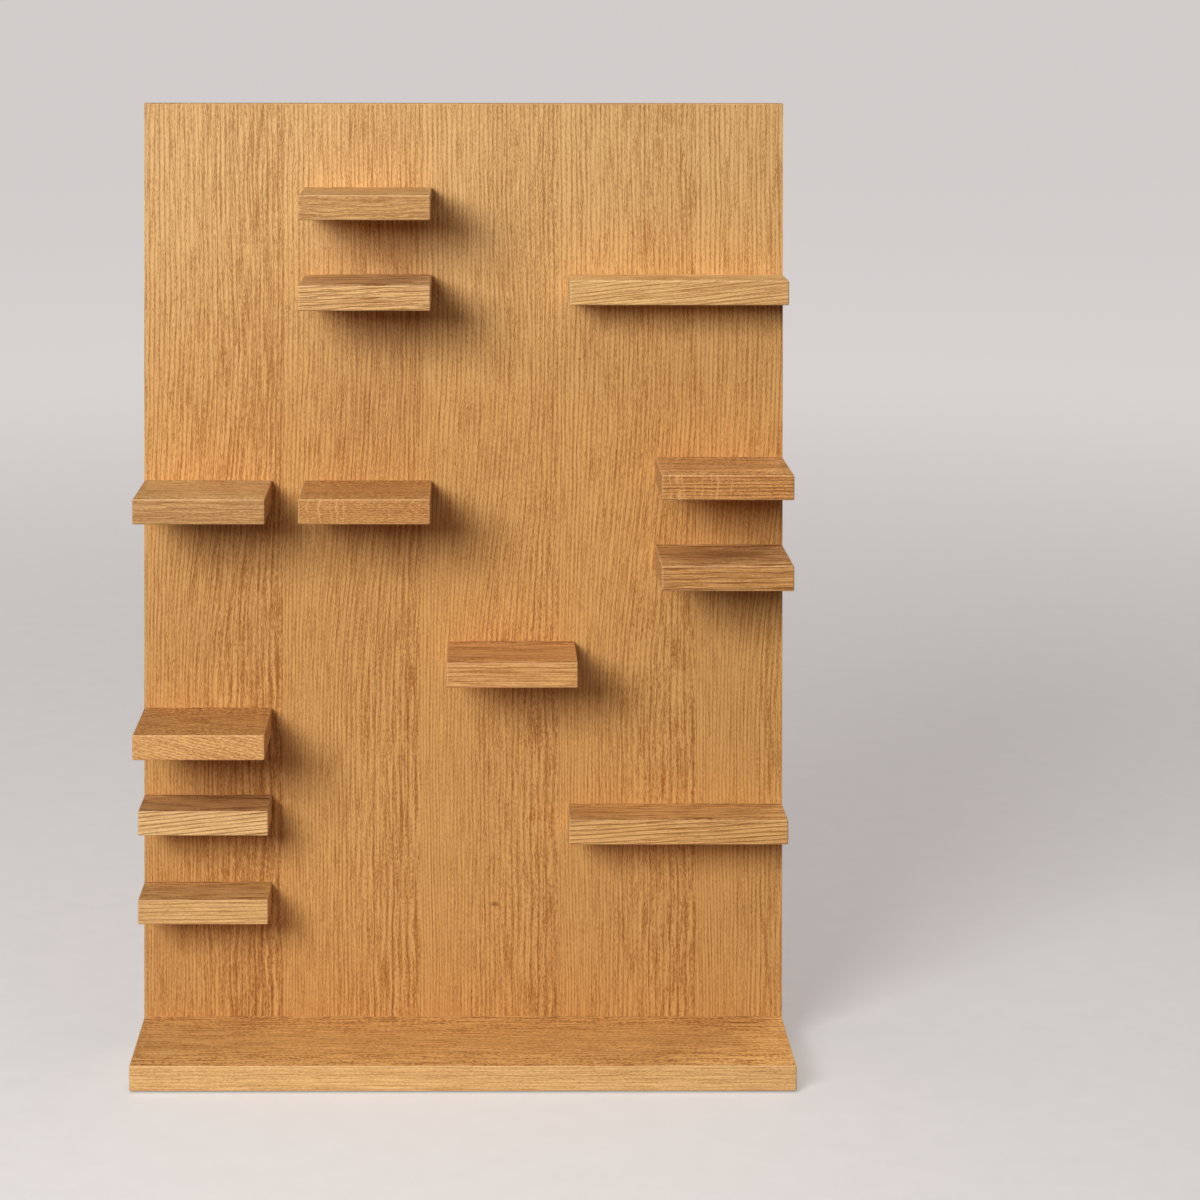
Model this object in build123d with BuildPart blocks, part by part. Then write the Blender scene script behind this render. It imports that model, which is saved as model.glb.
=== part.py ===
# Pegboard display stand: a veneered oak panel standing on a deep base board, with small solid oak
# shelves plugged into blind peg holes in its face.
#
# Frame: +Z up, X along the panel's width, the shelves face -Y. The origin is on the floor, in the
# middle of the stand's footprint. All lengths are in millimetres.
from build123d import *
import os

os.makedirs("parts", exist_ok=True)

# ---- Driving dimensions -------------------------------------------------------------------

# Panel: a core board with veneered faces and banded edges
panel_width = 680
panel_height = 1000
core_thickness = 18
veneer_thickness = 0.6
band_thickness = 1
leaf_width = 146.6  # one slice of veneer; the last leaf at the right is what is left over
leaf_joint = 0.05  # glue line between two leaves

# Solid oak boards
board_thickness = 26
base_depth = 150
deep_shelf = 120
middle_shelf = 105
shallow_shelf = 65
short_shelf = panel_width / 5
long_shelf = 229
edge_easing = 1.5  # radius on the boards' free edges

# Left edges of the two inner columns of shelves, from the panel's left edge
second_column = panel_width / 4
centre_column = 322.5

# Shelf pegs: glued into the shelf, a slip fit in the panel
peg_radius = 4
peg_slip_radius = peg_radius + 0.08
peg_glue_radius = peg_radius + 0.05
peg_in_shelf = 25
peg_in_panel = 15
peg_end_gap = 1  # left empty at the bottom of each blind hole
peg_inset = 28  # from a shelf's end to its nearest peg

# Base joint: dowels locate it and screws from behind pull it tight
base_dowel_in_panel = 12
base_dowel_in_base = 18
base_dowel_spacing = 200
base_dowel_count = 3
base_screw_radius = 2.5
base_screw_head_radius = 4.8
base_screw_length = 60
base_screw_clearance = 0.25
base_screw_spacing = 200
base_screw_count = 4

# Keyhole hanger plates, let in flush with the panel's back
hanger_width = 46
hanger_height = 20
hanger_thickness = 2
hanger_pocket_gap = 0.2
hanger_spacing = 500
hanger_from_top = 60
keyhole_entry_radius = 4.5
keyhole_slot_radius = 2.25
keyhole_travel = 8
keyhole_cavity_radius = 5.5
keyhole_cavity_depth = 8
hanger_screw_radius = 1.5
hanger_screw_head_radius = 3
hanger_screw_length = 14
hanger_screw_spacing = 34

# Felt floor pads
pad_radius = 7
pad_thickness = 2
pad_spacing = 320
pad_count = 3
pad_from_base_front = 18

# ---- Derived positions --------------------------------------------------------------------

panel_thickness = core_thickness + 2 * veneer_thickness
overall_depth = base_depth + panel_thickness
back_y = overall_depth / 2
front_y = back_y - panel_thickness  # the plane that the base and every shelf sit against
core_front_y = front_y + veneer_thickness
core_back_y = back_y - veneer_thickness
left_x = -panel_width / 2
panel_foot = pad_thickness
core_width = panel_width - 2 * band_thickness
core_height = panel_height - 2 * band_thickness
panel_middle = panel_foot + panel_height / 2
base_joint_height = panel_foot + board_thickness / 2
hanger_height_up = panel_foot + panel_height - hanger_from_top

# Each shelf: name, left edge from the panel's left edge, top above the panel's foot, width, depth
shelves = [
    ("shelf_top", second_column, 911, short_shelf, deep_shelf),
    ("shelf_second", second_column, 818, short_shelf, deep_shelf),
    ("long_shelf_upper", panel_width - long_shelf, 818, long_shelf, shallow_shelf),
    ("shelf_right_upper", panel_width - short_shelf, 623.5, short_shelf, deep_shelf),
    ("shelf_right_lower", panel_width - short_shelf, 530, short_shelf, deep_shelf),
    ("shelf_left_upper", 0, 598.5, short_shelf, deep_shelf),
    ("shelf_middle", second_column, 598.5, short_shelf, deep_shelf),
    ("shelf_centre", centre_column, 427, short_shelf, middle_shelf),
    ("shelf_left_deep", 0, 356, short_shelf, deep_shelf),
    ("shelf_left_shallow", 0, 263, short_shelf, shallow_shelf),
    ("shelf_left_bottom", 0, 170, short_shelf, shallow_shelf),
    ("long_shelf_lower", panel_width - long_shelf, 253.5, long_shelf, shallow_shelf),
]

# Working planes that face the viewer (local x is X, local y is Z, extrusion goes towards -Y)
back_plane = Plane.XZ.offset(-back_y)
core_back_plane = Plane.XZ.offset(-core_back_y)
core_front_plane = Plane.XZ.offset(-core_front_y)
front_plane = Plane.XZ.offset(-front_y)
# The panel's back seen from behind (local x is -X, local y is Z, holes go in towards -Y)
rear_plane = Plane(origin=(0, back_y, 0), x_dir=(-1, 0, 0), z_dir=(0, 1, 0))


def peg_points(left, top, width):
    """Centres of one shelf's pegs as (x, z): one near each end, and a third in a long shelf."""
    first = left_x + left + peg_inset
    last = left_x + left + width - peg_inset
    height = panel_foot + top - board_thickness / 2
    if width > short_shelf:
        return [(first, height), ((first + last) / 2, height), (last, height)]
    return [(first, height), (last, height)]


def row_points(count, spacing, height):
    """Points of an evenly spaced row centred on the stand, as (x, z)."""
    start = -spacing * (count - 1) / 2
    return [(start + i * spacing, height) for i in range(count)]


all_peg_points = [point for shelf in shelves for point in peg_points(*shelf[1:4])]
base_screw_points = row_points(base_screw_count, base_screw_spacing, base_joint_height)
base_dowel_points = row_points(base_dowel_count, base_dowel_spacing, base_joint_height)
leaf_joint_positions = [left_x + leaf_width * i for i in range(1, int(panel_width // leaf_width) + 1)]
hanger_points = row_points(2, hanger_spacing, hanger_height_up)
hanger_screw_points = [
    (x + side * hanger_screw_spacing / 2, z) for x, z in hanger_points for side in (-1, 1)
]


def turned_dowel(radius, length):
    """A wooden dowel along Z with both ends chamfered, standing on the XY plane."""
    with BuildPart() as dowel:
        with BuildSketch(Plane.XY):
            Circle(radius)
        extrude(amount=length)
        chamfer(dowel.edges().filter_by(GeomType.CIRCLE), length=0.8)
    return dowel.part


def countersunk_screw(shank_radius, head_radius, length):
    """A countersunk cross-slot screw along -Z, with its flat head on the XY plane."""
    cone_height = head_radius - shank_radius
    point_height = 2 * shank_radius
    cross_width = head_radius * 0.24
    cross_length = head_radius * 1.1
    with BuildPart() as screw:
        with BuildSketch(Plane.XZ):
            with BuildLine():
                Polyline(
                    (0, 0),
                    (head_radius, 0),
                    (shank_radius, -cone_height),
                    (shank_radius, -length + point_height),
                    (0.1, -length),
                    (0, -length),
                    close=True,
                )
            make_face()
        revolve(axis=Axis.Z)
        with BuildSketch(Plane.XY):
            Rectangle(cross_length, cross_width)
            Rectangle(cross_width, cross_length)
        extrude(amount=-cone_height * 0.9, mode=Mode.SUBTRACT)
    return screw.part


# ---- Panel --------------------------------------------------------------------------------

with BuildPart() as panel_core:
    with BuildSketch(core_back_plane):
        with Locations((0, panel_middle)):
            Rectangle(core_width, core_height)
    extrude(amount=core_thickness)
    # blind holes for the shelf pegs
    with BuildSketch(front_plane):
        with Locations(*all_peg_points):
            Circle(peg_slip_radius)
    extrude(amount=-(peg_in_panel + peg_end_gap), mode=Mode.SUBTRACT)
    # blind holes for the base dowels
    with BuildSketch(front_plane):
        with Locations(*base_dowel_points):
            Circle(peg_glue_radius)
    extrude(amount=-(base_dowel_in_panel + peg_end_gap), mode=Mode.SUBTRACT)
    # countersunk holes for the base screws, driven from behind
    with Locations(rear_plane):
        with Locations(*base_screw_points):
            CounterSinkHole(
                radius=base_screw_radius + base_screw_clearance,
                counter_sink_radius=base_screw_head_radius + base_screw_clearance,
                depth=panel_thickness,
                counter_sink_angle=90,
            )
    # pockets for the hanger plates, with room behind each keyhole for a wall screw's head
    with BuildSketch(back_plane):
        with Locations(*hanger_points):
            Rectangle(hanger_width + 2 * hanger_pocket_gap, hanger_height + 2 * hanger_pocket_gap)
    extrude(amount=hanger_thickness, mode=Mode.SUBTRACT)
    with BuildSketch(back_plane):
        with Locations(*hanger_points):
            SlotCenterToCenter(keyhole_travel, 2 * keyhole_cavity_radius, rotation=90)
    extrude(amount=hanger_thickness + keyhole_cavity_depth, mode=Mode.SUBTRACT)
    with BuildSketch(back_plane):
        with Locations(*hanger_screw_points):
            Circle(hanger_screw_radius)
    extrude(amount=hanger_screw_length + peg_end_gap, mode=Mode.SUBTRACT)
panel_core.part.label = "panel_core"
export_step(panel_core.part, "parts/panel_core.step")

# The face veneer: one sheet of leaves jointed edge to edge, each leaf a separate thin solid
with BuildPart() as front_veneer:
    with BuildSketch(core_front_plane):
        with Locations((0, panel_middle)):
            Rectangle(core_width, core_height)
        with Locations(*[(x, panel_middle) for x in leaf_joint_positions]):
            Rectangle(leaf_joint, core_height, mode=Mode.SUBTRACT)
        with Locations(*all_peg_points):
            Circle(peg_slip_radius, mode=Mode.SUBTRACT)
        with Locations(*base_dowel_points):
            Circle(peg_glue_radius, mode=Mode.SUBTRACT)
        with Locations(*base_screw_points):
            Circle(base_screw_radius + base_screw_clearance, mode=Mode.SUBTRACT)
    extrude(amount=veneer_thickness)
front_veneer.part.label = "front_veneer"
export_step(front_veneer.part, "parts/front_veneer.step")

with BuildPart() as back_veneer:
    with BuildSketch(back_plane):
        with Locations((0, panel_middle)):
            Rectangle(core_width, core_height)
        with Locations(*hanger_points):
            Rectangle(
                hanger_width + 2 * hanger_pocket_gap,
                hanger_height + 2 * hanger_pocket_gap,
                mode=Mode.SUBTRACT,
            )
    extrude(amount=veneer_thickness)
    with Locations(rear_plane):
        with Locations(*base_screw_points):
            CounterSinkHole(
                radius=base_screw_radius + base_screw_clearance,
                counter_sink_radius=base_screw_head_radius + base_screw_clearance,
                depth=panel_thickness,
                counter_sink_angle=90,
            )
back_veneer.part.label = "back_veneer"
export_step(back_veneer.part, "parts/back_veneer.step")

# Solid oak strips that close the core's edges; the upright ones run the full height
with BuildPart() as edge_band_left:
    with BuildSketch(back_plane):
        with Locations((left_x + band_thickness / 2, panel_middle)):
            Rectangle(band_thickness, panel_height)
    extrude(amount=panel_thickness)
edge_band_left.part.label = "edge_band_left"
export_step(edge_band_left.part, "parts/edge_band_left.step")

with BuildPart() as edge_band_right:
    with BuildSketch(back_plane):
        with Locations((-left_x - band_thickness / 2, panel_middle)):
            Rectangle(band_thickness, panel_height)
    extrude(amount=panel_thickness)
edge_band_right.part.label = "edge_band_right"
export_step(edge_band_right.part, "parts/edge_band_right.step")

with BuildPart() as edge_band_top:
    with BuildSketch(back_plane):
        with Locations((0, panel_foot + panel_height - band_thickness / 2)):
            Rectangle(core_width, band_thickness)
    extrude(amount=panel_thickness)
edge_band_top.part.label = "edge_band_top"
export_step(edge_band_top.part, "parts/edge_band_top.step")

with BuildPart() as edge_band_bottom:
    with BuildSketch(back_plane):
        with Locations((0, panel_foot + band_thickness / 2)):
            Rectangle(core_width, band_thickness)
    extrude(amount=panel_thickness)
edge_band_bottom.part.label = "edge_band_bottom"
export_step(edge_band_bottom.part, "parts/edge_band_bottom.step")

# ---- Base ---------------------------------------------------------------------------------

# The base board butts against the panel's face, level with its foot
with BuildPart() as base_board:
    with BuildSketch(Plane.XY.offset(panel_foot)):
        with Locations((0, front_y - base_depth / 2)):
            Rectangle(panel_width, base_depth)
    extrude(amount=board_thickness)
    free_edges = base_board.edges().filter_by_position(
        Axis.Y, front_y - base_depth - 1, front_y - 1
    )
    fillet(free_edges, radius=edge_easing)
    with BuildSketch(front_plane):
        with Locations(*base_dowel_points):
            Circle(peg_glue_radius)
    extrude(amount=base_dowel_in_base + peg_end_gap, mode=Mode.SUBTRACT)
    with BuildSketch(front_plane):
        with Locations(*base_screw_points):
            Circle(base_screw_radius)
    extrude(amount=base_screw_length - panel_thickness + peg_end_gap, mode=Mode.SUBTRACT)
base_board.part.label = "base_board"
export_step(base_board.part, "parts/base_board.step")

base_dowel_blank = turned_dowel(peg_radius, base_dowel_in_panel + base_dowel_in_base)
base_dowel_plane = Plane.XZ.offset(-front_y - base_dowel_in_panel)
with BuildPart() as base_dowels:
    with Locations(base_dowel_plane):
        with Locations(*base_dowel_points):
            add(base_dowel_blank)
base_dowels.part.label = "base_dowels"
export_step(base_dowels.part, "parts/base_dowels.step")

base_screw_blank = countersunk_screw(base_screw_radius, base_screw_head_radius, base_screw_length)
with BuildPart() as base_screws:
    with Locations(rear_plane):
        with Locations(*base_screw_points):
            add(base_screw_blank)
base_screws.part.label = "base_screws"
export_step(base_screws.part, "parts/base_screws.step")

# Two rows of felt discs: one near the base board's front edge, one under the panel
front_pad_y = front_y - base_depth + pad_from_base_front
panel_pad_y = front_y + panel_thickness / 2
with BuildPart() as floor_pads:
    with BuildSketch(Plane.XY):
        with Locations(*[(x, front_pad_y) for x, _ in row_points(pad_count, pad_spacing, 0)]):
            Circle(pad_radius)
        with Locations(*[(x, panel_pad_y) for x, _ in row_points(pad_count, pad_spacing, 0)]):
            Circle(pad_radius)
    extrude(amount=pad_thickness)
floor_pads.part.label = "floor_pads"
export_step(floor_pads.part, "parts/floor_pads.step")

# ---- Hangers ------------------------------------------------------------------------------

with BuildPart() as hanger_plates:
    with BuildSketch(back_plane):
        with Locations(*hanger_points):
            Rectangle(hanger_width, hanger_height)
            SlotCenterToCenter(
                keyhole_travel, 2 * keyhole_slot_radius, rotation=90, mode=Mode.SUBTRACT
            )
        with Locations(*[(x, z - keyhole_travel / 2) for x, z in hanger_points]):
            Circle(keyhole_entry_radius, mode=Mode.SUBTRACT)
    extrude(amount=hanger_thickness)
    with Locations(rear_plane):
        with Locations(*hanger_screw_points):
            CounterSinkHole(
                radius=hanger_screw_radius + hanger_pocket_gap,
                counter_sink_radius=hanger_screw_head_radius + hanger_pocket_gap,
                depth=hanger_thickness,
                counter_sink_angle=90,
            )
hanger_plates.part.label = "hanger_plates"
export_step(hanger_plates.part, "parts/hanger_plates.step")

hanger_screw_blank = countersunk_screw(
    hanger_screw_radius, hanger_screw_head_radius, hanger_screw_length
)
with BuildPart() as hanger_screws:
    with Locations(rear_plane):
        with Locations(*hanger_screw_points):
            add(hanger_screw_blank)
hanger_screws.part.label = "hanger_screws"
export_step(hanger_screws.part, "parts/hanger_screws.step")

# ---- Shelves ------------------------------------------------------------------------------

peg_blank = turned_dowel(peg_radius, peg_in_panel + peg_in_shelf)
peg_plane = Plane.XZ.offset(-front_y - peg_in_panel)  # the pegs' ends inside the panel

for shelf_name, left, top, width, depth in shelves:
    # the board, with blind bores in its back edge for its pegs
    with BuildPart() as shelf:
        with BuildSketch(Plane.XY.offset(panel_foot + top - board_thickness)):
            with Locations((left_x + left + width / 2, front_y - depth / 2)):
                Rectangle(width, depth)
        extrude(amount=board_thickness)
        free_edges = shelf.edges().filter_by_position(Axis.Y, front_y - depth - 1, front_y - 1)
        fillet(free_edges, radius=edge_easing)
        with BuildSketch(front_plane):
            with Locations(*peg_points(left, top, width)):
                Circle(peg_glue_radius)
        extrude(amount=peg_in_shelf + peg_end_gap, mode=Mode.SUBTRACT)
    shelf.part.label = shelf_name
    export_step(shelf.part, f"parts/{shelf_name}.step")

    # its pegs, which reach from the shelf's bores into the panel's blind holes
    with BuildPart() as pegs:
        with Locations(peg_plane):
            with Locations(*peg_points(left, top, width)):
                add(peg_blank)
    pegs.part.label = f"{shelf_name}_pegs"
    export_step(pegs.part, f"parts/{shelf_name}_pegs.step")
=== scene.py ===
"""Looks for the pegboard display stand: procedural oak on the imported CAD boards, soft studio light
and a camera at the photograph's viewing angle. Metres, +Z up, the shelves face -Y."""

import functools
import math

import bpy
from mathutils import Euler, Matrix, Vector


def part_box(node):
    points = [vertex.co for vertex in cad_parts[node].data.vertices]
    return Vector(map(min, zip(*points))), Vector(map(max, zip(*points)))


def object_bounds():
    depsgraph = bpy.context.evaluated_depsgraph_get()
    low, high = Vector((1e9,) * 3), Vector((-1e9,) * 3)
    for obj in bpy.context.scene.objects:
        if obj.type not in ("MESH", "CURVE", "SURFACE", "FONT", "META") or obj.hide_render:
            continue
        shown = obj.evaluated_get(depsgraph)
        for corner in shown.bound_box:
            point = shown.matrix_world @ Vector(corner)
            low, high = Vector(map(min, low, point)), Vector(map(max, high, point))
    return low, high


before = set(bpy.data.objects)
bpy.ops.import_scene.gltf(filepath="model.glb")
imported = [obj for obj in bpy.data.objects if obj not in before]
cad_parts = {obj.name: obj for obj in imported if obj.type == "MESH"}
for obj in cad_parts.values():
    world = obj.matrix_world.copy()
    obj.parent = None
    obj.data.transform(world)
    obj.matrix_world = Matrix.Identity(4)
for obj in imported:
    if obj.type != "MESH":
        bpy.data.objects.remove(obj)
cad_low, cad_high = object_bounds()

MM = 0.001

# ---- Node helpers -------------------------------------------------------------------------

NOISE_STEP = (7.3, 3.1, 5.7)  # from one seed's noise to the next, in features


class Graph:
    """Adds shader nodes to one node tree. Inputs are sockets or plain values."""

    def __init__(self, tree):
        self.tree = tree

    def feed(self, socket, value):
        if isinstance(value, bpy.types.NodeSocket):
            self.tree.links.new(value, socket)
        elif value is not None:
            socket.default_value = value

    def add(self, kind, inputs=(), **settings):
        node = self.tree.nodes.new(kind)
        for name, value in settings.items():
            setattr(node, name, value)
        for name, value in dict(inputs).items():
            self.feed(node.inputs[name], value)
        return node

    def math(self, operation, a, b=None, c=None):
        return self.add("ShaderNodeMath", {0: a, 1: b, 2: c}, operation=operation).outputs[0]

    def vector_math(self, operation, a, b=None):
        node = self.add("ShaderNodeVectorMath", {0: a, 1: b}, operation=operation)
        return node.outputs["Value" if operation == "LENGTH" else "Vector"]

    def split(self, vector):
        return self.add("ShaderNodeSeparateXYZ", {0: vector}).outputs

    def join(self, x=0.0, y=0.0, z=0.0):
        return self.add("ShaderNodeCombineXYZ", {0: x, 1: y, 2: z}).outputs[0]

    def noise(self, vector, size, detail=2.0, roughness=0.5, seed=0.0):
        """Noise from 0 to 1 whose features are about `size` across, per axis, in the vector's units."""
        scaled = self.vector_math("DIVIDE", vector, size)
        moved = self.vector_math("ADD", scaled, tuple(seed * step for step in NOISE_STEP))
        inputs = {"Vector": moved, "Scale": 1.0, "Detail": detail, "Roughness": roughness}
        return self.add("ShaderNodeTexNoise", inputs).outputs[0]

    def ramp(self, value, start, end, low=0.0, high=1.0, kind="SMOOTHSTEP"):
        """Maps start..end to low..high, and holds the ends."""
        inputs = {0: value, 1: start, 2: end, 3: low, 4: high}
        return self.add("ShaderNodeMapRange", inputs, interpolation_type=kind).outputs[0]

    def swing(self, value, amount):
        """A 0..1 value as a swing of plus or minus half of amount."""
        return self.math("MULTIPLY", self.math("SUBTRACT", value, 0.5), amount)

    def total(self, *values):
        return functools.reduce(lambda a, b: self.math("ADD", a, b), values)

    def product(self, *values):
        return functools.reduce(lambda a, b: self.math("MULTIPLY", a, b), values)

    def blend(self, factor, a, b, kind="MIX"):
        node = self.add("ShaderNodeMix", data_type="RGBA", blend_type=kind)
        self.feed(node.inputs["Factor"], factor)
        self.feed(node.inputs["A"], a)
        self.feed(node.inputs["B"], b)
        return node.outputs["Result"]


def colour(red, green, blue):
    """A colour as it is seen on screen, 0 to 255, turned into the linear value that nodes use."""
    def linear(v):
        v /= 255
        return v / 12.92 if v <= 0.04045 else ((v + 0.055) / 1.055) ** 2.4
    return (linear(red), linear(green), linear(blue), 1.0)


def new_group(name, inputs, outputs):
    """An empty shader node group with these (name, socket type, default) inputs."""
    tree = bpy.data.node_groups.new(name, "ShaderNodeTree")
    for socket_name, kind, default in inputs:
        socket = tree.interface.new_socket(socket_name, in_out="INPUT", socket_type=kind)
        socket.default_value = default
    for socket_name, kind in outputs:
        tree.interface.new_socket(socket_name, in_out="OUTPUT", socket_type=kind)
    graph = Graph(tree)
    return graph, graph.add("NodeGroupInput").outputs, graph.add("NodeGroupOutput").inputs


def new_material(name):
    """A material with a Principled surface, its graph, and the point on the piece in millimetres."""
    material = bpy.data.materials.new(name)
    material.use_nodes = True
    graph = Graph(material.node_tree)
    surface = next(n for n in material.node_tree.nodes if n.type == "BSDF_PRINCIPLED")
    place = graph.add("ShaderNodeTexCoord").outputs["Object"]
    point = graph.vector_math("DIVIDE", place, (MM, MM, MM))
    return material, graph, surface, point


# ---- Oak ----------------------------------------------------------------------------------

FLOAT, VECTOR, RGBA = "NodeSocketFloat", "NodeSocketVector", "NodeSocketColor"
RAY_COLOUR = colour(244, 206, 152)
OAK_ROUGHNESS = 0.47


def make_oak_group():
    """Solid oak. Cut is a point in the log in mm, with the grain along its Z, and Pith is where
    the rings are centred. Rings, streaks and pores follow from the distance to the pith."""
    inputs = [
        ("Cut", VECTOR, (0, 0, 0)),
        ("Pith", VECTOR, (200, 0, 0)),
        ("Ring width", FLOAT, 4.0),
        ("Wander", FLOAT, 4.0),
        ("Waviness", FLOAT, 1.0),
        ("Ring contrast", FLOAT, 0.5),
        ("Pores", FLOAT, 0.7),
        ("Rays", FLOAT, 0.0),
        ("Streaks", FLOAT, 1.0),
        ("Flecks", FLOAT, 1.0),
        ("Streak width", FLOAT, 1.05),
        ("Broad bands", FLOAT, 0.7),
        ("Tone", FLOAT, 0.5),
        ("Tint", VECTOR, (1, 1, 1)),
        ("Light", RGBA, colour(242, 194, 128)),
        ("Dark", RGBA, colour(184, 124, 62)),
        ("Ring colour", RGBA, colour(176, 116, 56)),
        ("Pore colour", RGBA, colour(128, 76, 34)),
    ]
    outputs = [("Colour", RGBA), ("Height", FLOAT), ("Roughness", FLOAT)]
    g, given, out = new_group("oak", inputs, outputs)

    cut = given["Cut"]
    x, y, z = g.split(cut)
    pith_x, pith_y, _ = g.split(given["Pith"])
    across = g.math("SUBTRACT", x, pith_x)
    deep = g.math("SUBTRACT", y, pith_y)

    # distance from the pith, bent by the trunk's slow and quick irregularities
    slow = g.product(g.swing(g.noise(cut, (90, 90, 420), 1.0, seed=1), 2.0), given["Wander"])
    quick = g.product(g.swing(g.noise(cut, (16, 16, 70), 2.0, seed=2), 2.0), given["Waviness"])
    straight = g.math("SQRT", g.total(g.product(across, across), g.product(deep, deep)))
    radius = g.total(straight, slow, quick)
    around = g.product(g.math("ARCTAN2", deep, across), straight)
    fibre = g.join(radius, around, z)

    # yearly rings: a porous line that starts sharply and fades outwards, some years stronger
    turn = g.math("DIVIDE", radius, given["Ring width"])
    part = g.math("FRACT", turn)
    year = g.math("FLOOR", turn)
    strength = g.add("ShaderNodeTexWhiteNoise", {"W": year}, noise_dimensions="1D").outputs["Value"]
    line = g.math("MAXIMUM", g.ramp(part, 0.04, 0.4, 1, 0), g.ramp(part, 0.9, 1.0, 0, 1))
    ragged = g.ramp(g.noise(fibre, (2.2, 2.2, 40), 2.0, 0.6, seed=10), 0.25, 0.6, 0.35, 1.0, "LINEAR")
    band = g.product(ragged, g.ramp(strength, 0, 1, 0.5, 1.0, "LINEAR"), line)

    # streaks, flecks and pores lie along the rings: sizes are across, around and along the log
    broad = g.noise(fibre, (16, 16, 420), 2.0, 0.55, seed=3)
    cloud = g.noise(cut, (60, 60, 130), 2.0, 0.5, seed=4)
    width = given["Streak width"]
    streak = g.noise(fibre, g.join(width, width, 48.0), 3.0, 0.6, seed=5)
    fleck = g.noise(fibre, (0.8, 0.8, 3.5), 2.0, 0.6, seed=6)
    dash = g.noise(fibre, (0.85, 0.85, 4.5), 1.0, 0.5, seed=7)
    in_band = g.math("MULTIPLY_ADD", band, 0.8, 0.2)
    pore = g.product(g.ramp(dash, 0.47, 0.64), in_band, given["Pores"])

    # medullary rays: pale lines across the grain where a board is cut towards the pith
    wobble = g.swing(g.noise(g.join(x, 0.0, z), (11, 1, 40), 1.0, seed=8), 9.0)
    ripple = g.noise(g.join(g.math("ADD", z, wobble)), (9, 1, 1), 0.0, seed=12)
    thread = g.ramp(g.math("ABSOLUTE", g.math("SUBTRACT", ripple, 0.5)), 0.01, 0.045, 1, 0)
    patchy = g.ramp(g.noise(cut, (30, 30, 30), 1.0, seed=9), 0.3, 0.45)
    ray = g.product(thread, patchy, given["Rays"])

    # tone goes from 0, dark, to 1, light; strong rings make the wood between them lighter
    tone = g.total(
        given["Tone"],
        g.product(g.swing(broad, 1.0), given["Broad bands"]),
        g.swing(cloud, 0.28),
        g.product(g.swing(streak, 3.5), given["Streaks"]),
        g.product(g.swing(fleck, 2.7), given["Flecks"]),
        g.product(given["Ring contrast"], 0.2),
    )
    tone = g.math("MINIMUM", g.math("MAXIMUM", tone, 0.0), 1.0)
    wood = g.blend(tone, given["Dark"], given["Light"])
    wood = g.blend(g.product(band, given["Ring contrast"]), wood, given["Ring colour"])
    wood = g.blend(pore, wood, given["Pore colour"])
    wood = g.blend(g.product(ray, 0.75), wood, RAY_COLOUR)
    g.feed(out["Colour"], g.vector_math("MULTIPLY", wood, given["Tint"]))

    # pores are pits; 1 is the full depth of the relief
    height = g.total(
        g.product(pore, -1.0),
        g.product(band, -0.12),
        g.swing(streak, 0.25),
        g.swing(fleck, 0.2),
    )
    g.feed(out["Height"], height)
    roughness = g.total(
        OAK_ROUGHNESS,
        g.product(pore, 0.25),
        g.product(ray, -0.12),
        g.swing(streak, 0.12),
    )
    g.feed(out["Roughness"], roughness)
    return g.tree


def make_edge_group():
    """A point's edge mark, 0 to 1: real rubbing plus a painted highlight, highest where two of a board's
    faces meet. In mm.
    """
    inputs = [("Point", VECTOR, (0, 0, 0)), ("Centre", VECTOR, (0, 0, 0)), ("Half", VECTOR, (1, 1, 1))]
    g, given, out = new_group("board_edges", inputs, [("Wear and highlight", FLOAT)])
    offset = g.vector_math("ABSOLUTE", g.vector_math("SUBTRACT", given["Point"], given["Centre"]))
    margins = g.split(g.vector_math("SUBTRACT", given["Half"], offset))
    ragged = g.swing(g.noise(given["Point"], (9, 9, 9), 3.0, 0.6, seed=11), 1.6)
    near = [g.ramp(g.math("ADD", margin, ragged), 0.4, 2.2, 1, 0) for margin in margins]
    pairs = [g.product(near[i], near[j]) for i, j in ((0, 1), (0, 2), (1, 2))]
    g.feed(out["Wear and highlight"], functools.reduce(lambda a, b: g.math("MAXIMUM", a, b), pairs))
    return g.tree


oak_group = make_oak_group()
edge_group = make_edge_group()


def use_group(graph, tree, inputs):
    """Adds a group to the graph and gives its outputs."""
    node = graph.add("ShaderNodeGroup", node_tree=tree)
    for name, value in inputs.items():
        graph.feed(node.inputs[name], value)
    return node.outputs


def finish(graph, surface, tint, roughness, height, strength, depth):
    """Wires colour, roughness and relief, `depth` millimetres deep, into the surface."""
    bump = {"Height": height, "Strength": strength, "Distance": depth * MM}
    relief = graph.add("ShaderNodeBump", bump)
    graph.feed(surface.inputs["Base Color"], tint)
    graph.feed(surface.inputs["Roughness"], roughness)
    graph.feed(surface.inputs["Normal"], relief.outputs[0])


def finish_oak(graph, surface, tint, roughness, height):
    """Oiled oak: a shallow relief and a dull shine."""
    finish(graph, surface, tint, roughness, height, strength=0.6, depth=0.12)
    surface.inputs["Specular IOR Level"].default_value = 0.35


BOARD_LIGHT, BOARD_DARK = colour(252, 208, 142), colour(170, 112, 54)
# paler oak for rubbed edges, also a painted highlight on their rounding
WORN_OAK_AND_HIGHLIGHT = colour(232, 190, 136)
END_GRAIN_TINT = (0.93, 1.07, 1.4, 1)  # sawn ends are greyer than the rings' own colour
RINGS_ON_TOP = 0.45  # how strongly rings show on a top face, next to the other faces
BOARD_STEP = 911.0  # mm along the log from one board to the next, so that no two are alike


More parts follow.
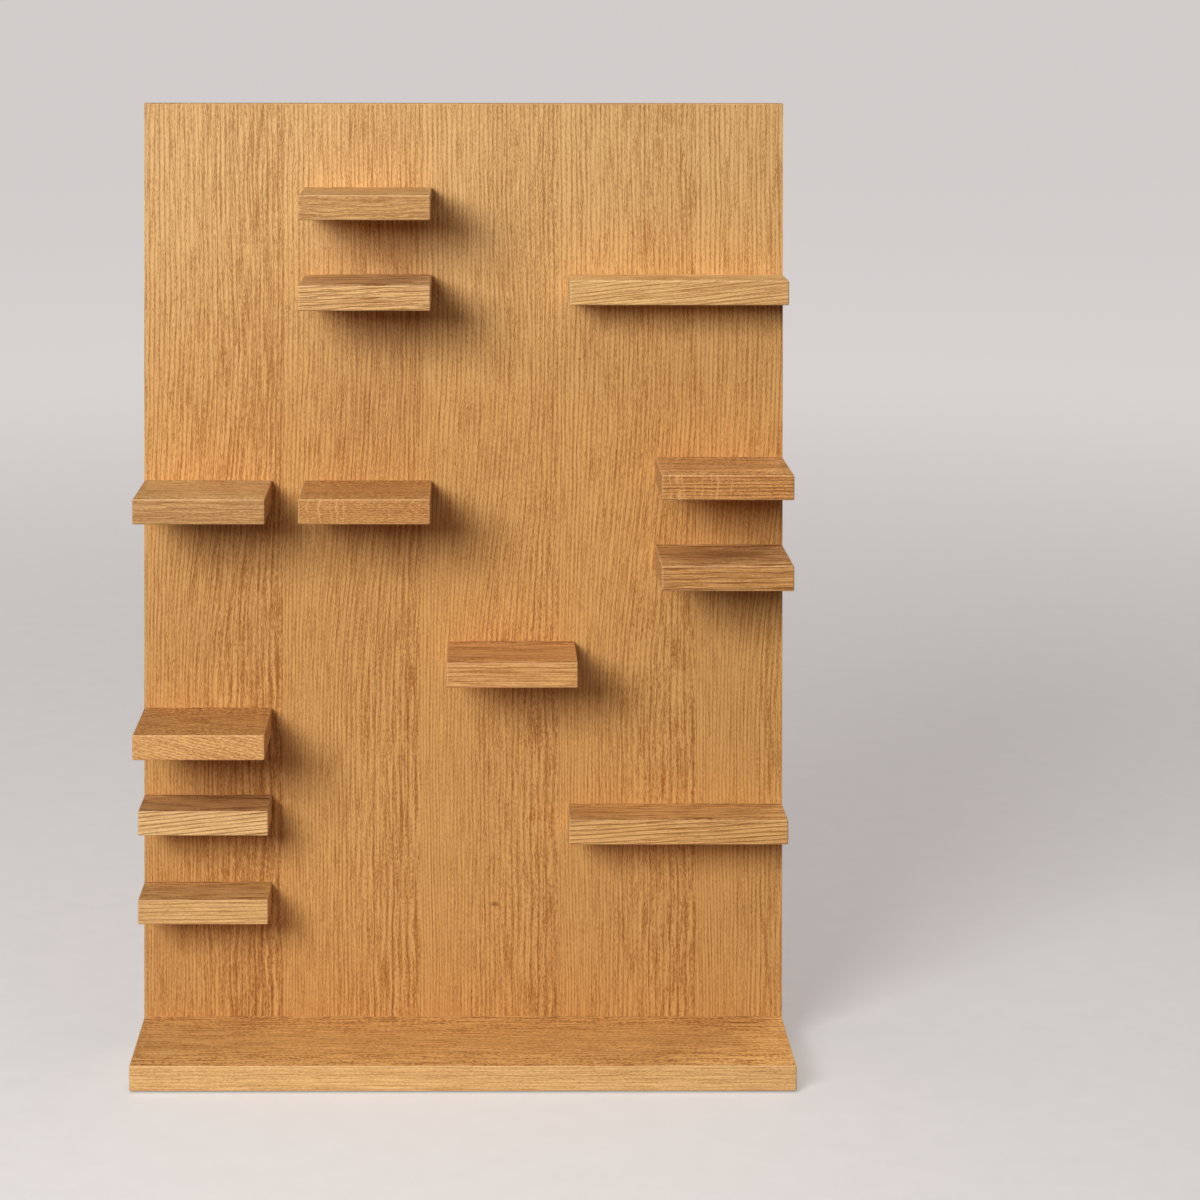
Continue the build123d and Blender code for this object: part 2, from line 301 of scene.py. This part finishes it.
def oak_board(node, seed, top=(1, 1, 1), rays_end=None, **settings):
    """Oak for one board with its grain along X. Its front face shows the log's X, upwards.
    The slope of the grain and the rays, which stop at rays_end, in mm from the board's middle, are
    the front face's own: further back the grain runs straight. The top is tinted by `top`, painted light
    and shade: some tops are made lighter and less orange, others darker where shelves above shade them."""
    material, g, surface, point = new_material("oak_" + node)
    low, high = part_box(node)
    centre, half = (low + high) / 2 / MM, (high - low) / 2 / MM
    x, y, z = g.split(g.vector_math("SUBTRACT", point, tuple(centre)))
    cut = g.vector_math("ADD", g.join(z, y, x), (0, 0, seed * BOARD_STEP))
    front = -half.y
    lean = settings.pop("Lean", 0.0)
    sloped = g.product(g.ramp(y, front + 1.0, front + 12.0, lean, lean * 0.15), x)
    cut = g.vector_math("SUBTRACT", cut, g.join(sloped))
    if rays_end is not None:
        in_front = g.ramp(y, front + 1.0, front + 3.0, 1.0, 0.0)
        settings["Rays"] = g.product(in_front, g.ramp(x, rays_end - 12.0, rays_end, 1.0, 0.0))

    normal_x, _, normal_z = g.split(g.add("ShaderNodeNewGeometry").outputs["True Normal"])
    on_top = g.ramp(normal_z, 0.5, 0.9)
    on_end = g.ramp(g.math("ABSOLUTE", normal_x), 0.5, 0.9)
    rings = settings.pop("Ring contrast", 0.5)
    settings["Ring contrast"] = g.ramp(on_top, 0.0, 1.0, rings, rings * RINGS_ON_TOP)

    wood = use_group(g, oak_group, {"Cut": cut, "Light": BOARD_LIGHT, "Dark": BOARD_DARK, **settings})
    box = {"Point": point, "Centre": tuple(centre), "Half": tuple(half)}
    wear_and_highlight = use_group(g, edge_group, box)["Wear and highlight"]
    # painted light and shade: each top face's colour is multiplied by `top`
    with_painted_top = g.blend(on_top, wood["Colour"], (*top, 1), "MULTIPLY")
    with_painted_top = g.blend(on_end, with_painted_top, END_GRAIN_TINT, "MULTIPLY")
    # a paler line where two faces meet: partly real wear, partly a painted highlight
    worn_and_highlit = g.blend(g.product(wear_and_highlight, 0.3), with_painted_top, WORN_OAK_AND_HIGHLIGHT)
    roughness = g.total(wood["Roughness"], g.product(wear_and_highlight, -0.1))
    finish_oak(g, surface, worn_and_highlit, roughness, wood["Height"])
    return material


LEAF_WIDTH = 146.6  # one slice of face veneer, in mm
LEAF_DEEPER = 5.0  # mm further into the log from one leaf to the next
LEAF_HIGHER = 9.0  # mm that each next leaf was laid higher
VENEER_STEP = 2000.0  # mm along the log from one veneered piece to the next
TRUNK_BEND = 24.0  # mm that the grain bows sideways in the lower panel
VENEER_TINT = (0.885, 0.8, 0.63)  # orange in the lower panel
VENEER_TOP_PAINTED_LIGHT = (0.05, 0.155, 0.29)  # painted light added towards the top, which is yellower
KNOT_SIZE = (5, 3, 1)  # about half its width and height in mm; the last isn't used
KNOT_COLOUR = colour(140, 84, 40)


def veneer(name, node, seed, tone, knot=None):
    """Slip-matched veneer: leaves side by side, cut one after another from the same log. A knot,
    if any, is at (x, z) in mm."""
    material, g, surface, point = new_material(name)
    low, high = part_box(node)
    x, y, z = g.split(point)
    from_left = g.math("SUBTRACT", x, low.x / MM)
    turn = g.math("DIVIDE", from_left, LEAF_WIDTH)
    leaf = g.math("FLOOR", turn)
    in_leaf = g.math("FRACT", turn)
    # each next leaf comes from a few millimetres deeper in the log and was laid a little higher
    leaf_x = g.product(in_leaf, LEAF_WIDTH)
    depth = g.product(leaf, LEAF_DEEPER)
    length = g.total(z, g.product(leaf, LEAF_HIGHER), seed * VENEER_STEP)
    # the trunk bows in the middle of each leaf, in the lower two thirds of the panel
    bulge = g.math("SINE", g.product(in_leaf, math.pi))
    bend = g.product(bulge, g.ramp(z, 250.0, 760.0, TRUNK_BEND, 0.0))
    cut = g.join(g.total(leaf_x, bend), depth, length)
    # each leaf is lighter on its left; the leaves get lighter to the right, painted light that evens out
    # the lamps' light across the panel
    shade = g.ramp(in_leaf, 0.0, 1.0, 0.16, -0.1, "LINEAR")
    # painted light: each next leaf to the right is a little lighter
    shade = g.math("MULTIPLY_ADD", leaf, 0.03, shade)
    # painted light and shade: the panel turns from yellow at the top to orange below, and is painted a
    # little darker at its foot
    near_top = g.ramp(z, 600.0, 1000.0)
    foot_painted_shade = g.ramp(z, 60.0, 320.0, 0.94, 1.0)
    painted_light_at_top = g.vector_math("MULTIPLY", VENEER_TOP_PAINTED_LIGHT, g.join(near_top, near_top, near_top))
    tint = g.vector_math("ADD", VENEER_TINT, painted_light_at_top)
    wood = use_group(g, oak_group, {
        "Cut": cut,
        "Pith": (-420, 90, 0),
        "Ring width": 4.8,
        "Wander": 9.0,
        "Waviness": 2.2,
        "Ring contrast": 0.78,
        "Pores": 0.62,
        "Streaks": 1.15,
        "Broad bands": 0.4,
        "Tint": g.vector_math("MULTIPLY", tint, g.join(foot_painted_shade, foot_painted_shade, foot_painted_shade)),
        "Tone": g.total(tone, shade),
    })
    shown = wood["Colour"]
    if knot is not None:
        knot_x, knot_z = knot
        ragged = g.swing(g.noise(point, (3, 3, 3), 2.0, seed=14), 1.2)
        apart = g.join(g.math("SUBTRACT", x, knot_x), g.math("SUBTRACT", z, knot_z))
        apart = g.vector_math("LENGTH", g.vector_math("DIVIDE", apart, KNOT_SIZE))
        inside = g.ramp(g.total(apart, ragged), 0.3, 1.3, 0.75, 0.0)
        shown = g.blend(inside, shown, KNOT_COLOUR)
    finish_oak(g, surface, shown, wood["Roughness"], wood["Height"])
    return material


# ---- The other materials ------------------------------------------------------------------


def board_of_core():
    """Raw fibreboard: pressed brown fibres."""
    material, g, surface, point = new_material("fibreboard")
    fibres = g.noise(point, (0.8, 0.8, 0.8), 4.0, 0.7)
    clumps = g.noise(point, (5, 5, 5), 2.0, 0.5, seed=3)
    mixed = g.total(g.product(fibres, 0.7), g.product(clumps, 0.4))
    tint = g.blend(g.ramp(mixed, 0.3, 0.8), colour(120, 92, 62), colour(186, 152, 112))
    roughness = g.ramp(fibres, 0.0, 1.0, 0.8, 0.95)
    finish(g, surface, tint, roughness, fibres, strength=0.5, depth=0.2)
    return material


def beech():
    """Turned beech with its grain along Y: pale, with fine dark flecks."""
    material, g, surface, point = new_material("beech")
    x, y, z = g.split(point)
    along = g.join(x, z, y)
    streak = g.noise(along, (0.9, 0.9, 18), 3.0, 0.6)
    fleck = g.ramp(g.noise(along, (0.35, 0.35, 2.2), 1.0, seed=2), 0.6, 0.68)
    tint = g.blend(streak, colour(206, 164, 118), colour(232, 198, 156))
    tint = g.blend(g.product(fleck, 0.6), tint, colour(160, 108, 70))
    roughness = g.ramp(streak, 0.0, 1.0, 0.62, 0.5)
    finish(g, surface, tint, roughness, streak, strength=0.4, depth=0.08)
    return material


def zinc_steel():
    """Zinc-plated steel: faint blue and yellow clouding and fine scratches, unevenly dull."""
    material, g, surface, point = new_material("zinc_steel")
    cloud = g.noise(point, (6, 6, 6), 3.0, 0.6)
    scratch = g.noise(point, (14, 0.2, 0.25), 2.0, 0.7, seed=4)
    tint = g.blend(g.ramp(cloud, 0.35, 0.65), colour(176, 180, 186), colour(196, 192, 178))
    roughness = g.total(0.3, g.swing(cloud, 0.2), g.swing(scratch, 0.15))
    finish(g, surface, tint, roughness, scratch, strength=0.3, depth=0.03)
    surface.inputs["Metallic"].default_value = 0.7
    return material


def felt():
    """Pressed brown wool felt."""
    material, g, surface, point = new_material("felt")
    hairs = g.noise(point, (0.5, 0.5, 0.5), 4.0, 0.8)
    tint = g.blend(g.ramp(hairs, 0.35, 0.7), colour(66, 52, 42), colour(112, 92, 76))
    roughness = g.ramp(hairs, 0.0, 1.0, 0.85, 1.0)
    finish(g, surface, tint, roughness, hairs, strength=0.8, depth=0.3)
    surface.inputs["Sheen Weight"].default_value = 0.4
    return material


# ---- Which piece is made of what ----------------------------------------------------------


def dress(node, material):
    """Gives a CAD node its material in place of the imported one."""
    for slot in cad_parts[node].material_slots:
        slot.material = material


# How each board was sawn, as its front face shows. Widths are in mm, Lean is the grain's slope and
# Tone how light it is. Tint multiplies the whole board's colour, and top its top face's once more:
# painted light and shade, lighter and less orange on some tops, darker where shelves above shade them.
BOARDS = {
    "shelf_top": {
        "Ring width": 5.0, "Ring contrast": 0.7, "Wander": 6, "Waviness": 7.0, "Streaks": 1.2,
        "Tone": 0.45, "Tint": (0.83, 0.76, 0.64), "top": (1.03, 1.14, 1.32),
    },
    "shelf_second": {
        "Ring width": 4.4, "Ring contrast": 1.0, "Ring colour": colour(138, 86, 38), "Lean": 0.05,
        "Wander": 5, "Waviness": 5.0, "Streaks": 2.7, "Streak width": 1.6,
        "Tone": 0.6, "Tint": (0.96, 0.92, 0.85), "top": (0.98, 1.02, 1.14),
    },
    "long_shelf_upper": {
        "Ring width": 4.0, "Ring contrast": 0.9, "Lean": 0.11, "Waviness": 1.4,
        "Streaks": 1.7, "Streak width": 1.3,
        "Tone": 0.6, "Tint": (0.99, 0.97, 0.88), "top": (0.93, 1.05, 1.15),
    },
    "shelf_right_upper": {
        "Ring width": 3.6, "Ring contrast": 1.0, "Ring colour": colour(130, 80, 36),
        "Waviness": 1.0, "Streaks": 1.2, "Streak width": 1.5, "Flecks": 2.4, "Pores": 1.0,
        "rays_end": 32.0, "Tone": 0.5, "Tint": (0.90, 0.71, 0.51), "top": (0.99, 1.14, 1.41),
    },
    "shelf_right_lower": {
        "Ring width": 5.2, "Ring contrast": 1.0, "Ring colour": colour(132, 84, 40), "Lean": 0.02,
        "Waviness": 3.6, "Streaks": 2.6, "Streak width": 1.3,
        "Tone": 0.5, "Tint": (0.83, 0.69, 0.54), "top": (1.01, 1.13, 1.33),
    },
    "shelf_left_upper": {
        "Ring width": 5.6, "Ring contrast": 0.6, "Wander": 6, "Waviness": 4.5, "Streaks": 1.0,
        "Tone": 0.45, "Tint": (0.80, 0.73, 0.65), "top": (1.02, 1.15, 1.25),
    },
    "shelf_middle": {
        "Ring width": 2.4, "Ring contrast": 0.4, "Waviness": 0.8, "Streaks": 0.5, "Flecks": 2.4,
        "rays_end": -8.0, "Tone": 0.4, "Tint": (0.85, 0.70, 0.52), "top": (0.92, 1.02, 1.09),
    },
    "shelf_centre": {
        "Ring width": 4.6, "Ring contrast": 0.9, "Waviness": 1.2, "Streaks": 2.0,
        "Tone": 0.55, "Tint": (0.98, 0.86, 0.71), "top": (0.79, 0.76, 0.75),
    },
    "shelf_left_deep": {
        "Ring width": 3.0, "Ring contrast": 0.5, "Lean": -0.26, "Waviness": 0.8,
        "Streaks": 0.8, "Flecks": 2.0, "Pores": 1.0,
        "Tone": 0.5, "Tint": (1.06, 0.96, 0.83), "top": (0.74, 0.71, 0.64),
    },
    "shelf_left_shallow": {
        "Ring width": 4.4, "Ring contrast": 1.0, "Ring colour": colour(118, 74, 34), "Lean": 0.1,
        "Waviness": 1.0, "Streaks": 2.0, "Streak width": 1.3,
        "Tone": 0.8, "Tint": (1.04, 1.04, 1.02), "top": (0.65, 0.57, 0.52),
    },
    "shelf_left_bottom": {
        "Ring width": 4.2, "Ring contrast": 0.8, "Lean": 0.01, "Waviness": 1.6, "Streaks": 1.8,
        "Tone": 0.65, "Tint": (0.92, 0.89, 0.82), "top": (0.84, 0.82, 0.78),
    },
    "long_shelf_lower": {
        "Ring width": 4.4, "Ring contrast": 1.0, "Ring colour": colour(134, 88, 40), "Lean": 0.06,
        "Waviness": 1.8, "Streaks": 2.1, "Streak width": 1.3,
        "Tone": 0.65, "Tint": (0.93, 0.84, 0.69), "top": (0.81, 0.81, 0.81),
    },
    "base_board": {
        "Ring width": 3.6, "Ring contrast": 0.4, "Waviness": 1.4, "Broad bands": 0.45,
        "Streaks": 0.9, "Flecks": 1.1, "Pores": 0.35,
        "Tone": 0.6, "Tint": (0.95, 0.93, 0.86), "top": (0.91, 0.84, 0.72),
    },
}
for seed, (board, settings) in enumerate(BOARDS.items(), start=1):
    dress(board, oak_board(board, seed, **settings))
for seed, band in enumerate(("edge_band_top", "edge_band_bottom"), start=30):
    dress(band, oak_board(band, seed))

dress("front_veneer", veneer("oak_face_veneer", "front_veneer", 1, tone=0.55, knot=(34, 148)))
dress("back_veneer", veneer("oak_back_veneer", "back_veneer", 2, tone=0.45))
for band in ("edge_band_left", "edge_band_right"):
    dress(band, veneer("oak_" + band, band, 3, tone=0.5))

peg_material = beech()
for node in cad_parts:
    if node.endswith("_pegs") or node == "base_dowels":
        dress(node, peg_material)
steel_material = zinc_steel()
for node in ("base_screws", "hanger_plates", "hanger_screws"):
    dress(node, steel_material)
dress("panel_core", board_of_core())
dress("floor_pads", felt())

# ---- Studio -------------------------------------------------------------------------------

FLOOR_SIZE = 600  # metres, so that it reaches the horizon from every view


def pale_floor():
    """A pale floor. For bounced light its colour is painted dark beyond the stand's foot, painted shade
    for a studio that is dark there, so only the floor near the foot bounces light back on to the wood;
    the camera sees all of it pale."""
    bpy.ops.mesh.primitive_plane_add(size=FLOOR_SIZE)
    floor = bpy.context.object
    floor.name = "floor"
    material, g, surface, point = new_material("pale_floor")
    speckle = g.noise(point, (40, 40, 40), 3.0, 0.6)
    seen = g.blend(speckle, colour(191, 190, 187), colour(201, 200, 197))
    from_middle = g.vector_math("LENGTH", point)
    away = g.ramp(from_middle, 150, 900)
    # painted shade: for bounced light the floor darkens away from the stand's foot
    bounced = g.blend(away, colour(206, 205, 202), colour(70, 70, 70))
    camera_ray = g.add("ShaderNodeLightPath").outputs["Is Camera Ray"]
    g.feed(surface.inputs["Base Color"], g.blend(camera_ray, bounced, seen))
    # a glow for the camera alone makes up for the lights' falling off with distance
    g.feed(surface.inputs["Emission Color"], colour(214, 214, 212))
    glow = g.ramp(from_middle, 800, 6000, 0.45, 0.88)
    g.feed(surface.inputs["Emission Strength"], g.product(camera_ray, glow))
    g.feed(surface.inputs["Roughness"], g.ramp(speckle, 0.0, 1.0, 0.65, 0.8))
    floor.data.materials.append(material)


def soft_light(name, direction, distance, width, height, power, stand_only=False):
    """A rectangular softbox that looks at the middle of the stand from `direction`. With
    stand_only it leaves the floor alone and isn't mirrored in the wood."""
    data = bpy.data.lights.new(name, "AREA")
    data.shape = "RECTANGLE"
    data.size = width
    data.size_y = height
    data.energy = power
    lamp = bpy.data.objects.new(name, data)
    bpy.context.scene.collection.objects.link(lamp)
    target = (cad_low + cad_high) / 2
    towards = Vector(direction).normalized()
    lamp.location = target + towards * distance
    lamp.rotation_euler = towards.to_track_quat("Z", "Y").to_euler()
    if stand_only:
        receivers = bpy.data.collections.new(name + "_receivers")
        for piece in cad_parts.values():
            receivers.objects.link(piece)
        lamp.light_linking.receiver_collection = receivers
        lamp.visible_glossy = False


pale_floor()
# The key is 29 degrees to the left and 23 up: shadows fall to the right and down.
soft_light("key", (-0.554, -1.0, 0.49), distance=4.5, width=2.2, height=1.8, power=185)
soft_light("overhead", (0.0, -0.25, 1.0), distance=4.6, width=4.0, height=4.0, power=80)
# The fill is for views of the back. From behind the panel it only grazes what the photograph shows.
soft_light("rear_fill", (0.8, 1.1, 0.3), distance=4.5, width=2.4, height=1.4, power=170, stand_only=True)

WARM_SHADE = (0.082, 0.024, 0.03, 1)  # what little light comes from all around
BACKDROP = (0.642, 0.607, 0.597, 1)  # as the far floor looks, so that no horizon shows

world = bpy.data.worlds.new("studio")
bpy.context.scene.world = world
world.use_nodes = True
sky = Graph(world.node_tree)
background = next(n for n in world.node_tree.nodes if n.type == "BACKGROUND")
is_seen = sky.add("ShaderNodeLightPath").outputs["Is Camera Ray"]
sky.feed(background.inputs["Color"], sky.blend(is_seen, WARM_SHADE, BACKDROP))
bpy.context.scene.view_settings.view_transform = "Standard"

# ---- Camera -------------------------------------------------------------------------------

panel_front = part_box("front_veneer")[0].y
CAMERA_DISTANCE = 3.2604  # in metres, in front of the panel's face
CAMERA_HEIGHT = 1.1345
CAMERA_RIGHT = 0.0054  # of the stand's middle
LENS_MM = 91.922
SENSOR_MM = 36
SHIFT_RIGHT, SHIFT_UP = 0.10145, -0.49646  # in widths of the picture
TILT_DOWN, TURN_RIGHT, ROLL = (math.radians(angle) for angle in (0.4706, 0.174, 0.0374))

camera_data = bpy.data.cameras.new("camera")
camera_data.sensor_width = SENSOR_MM
camera_data.lens = LENS_MM
camera = bpy.data.objects.new("camera", camera_data)
bpy.context.scene.collection.objects.link(camera)
camera.location = (CAMERA_RIGHT, panel_front - CAMERA_DISTANCE, CAMERA_HEIGHT)
camera.rotation_euler = Euler((math.pi / 2 - TILT_DOWN, -ROLL, -TURN_RIGHT))
bpy.context.scene.camera = camera


def shift_only_here(property_name, amount):
    curve = camera_data.driver_add(property_name)
    curve.driver.type = "AVERAGE"
    variable = curve.driver.variables.new()
    variable.targets[0].id = camera
    variable.targets[0].data_path = "rotation_mode"
    curve.modifiers[0].coefficients = (0.0, amount)


shift_only_here("shift_x", SHIFT_RIGHT)
shift_only_here("shift_y", SHIFT_UP)
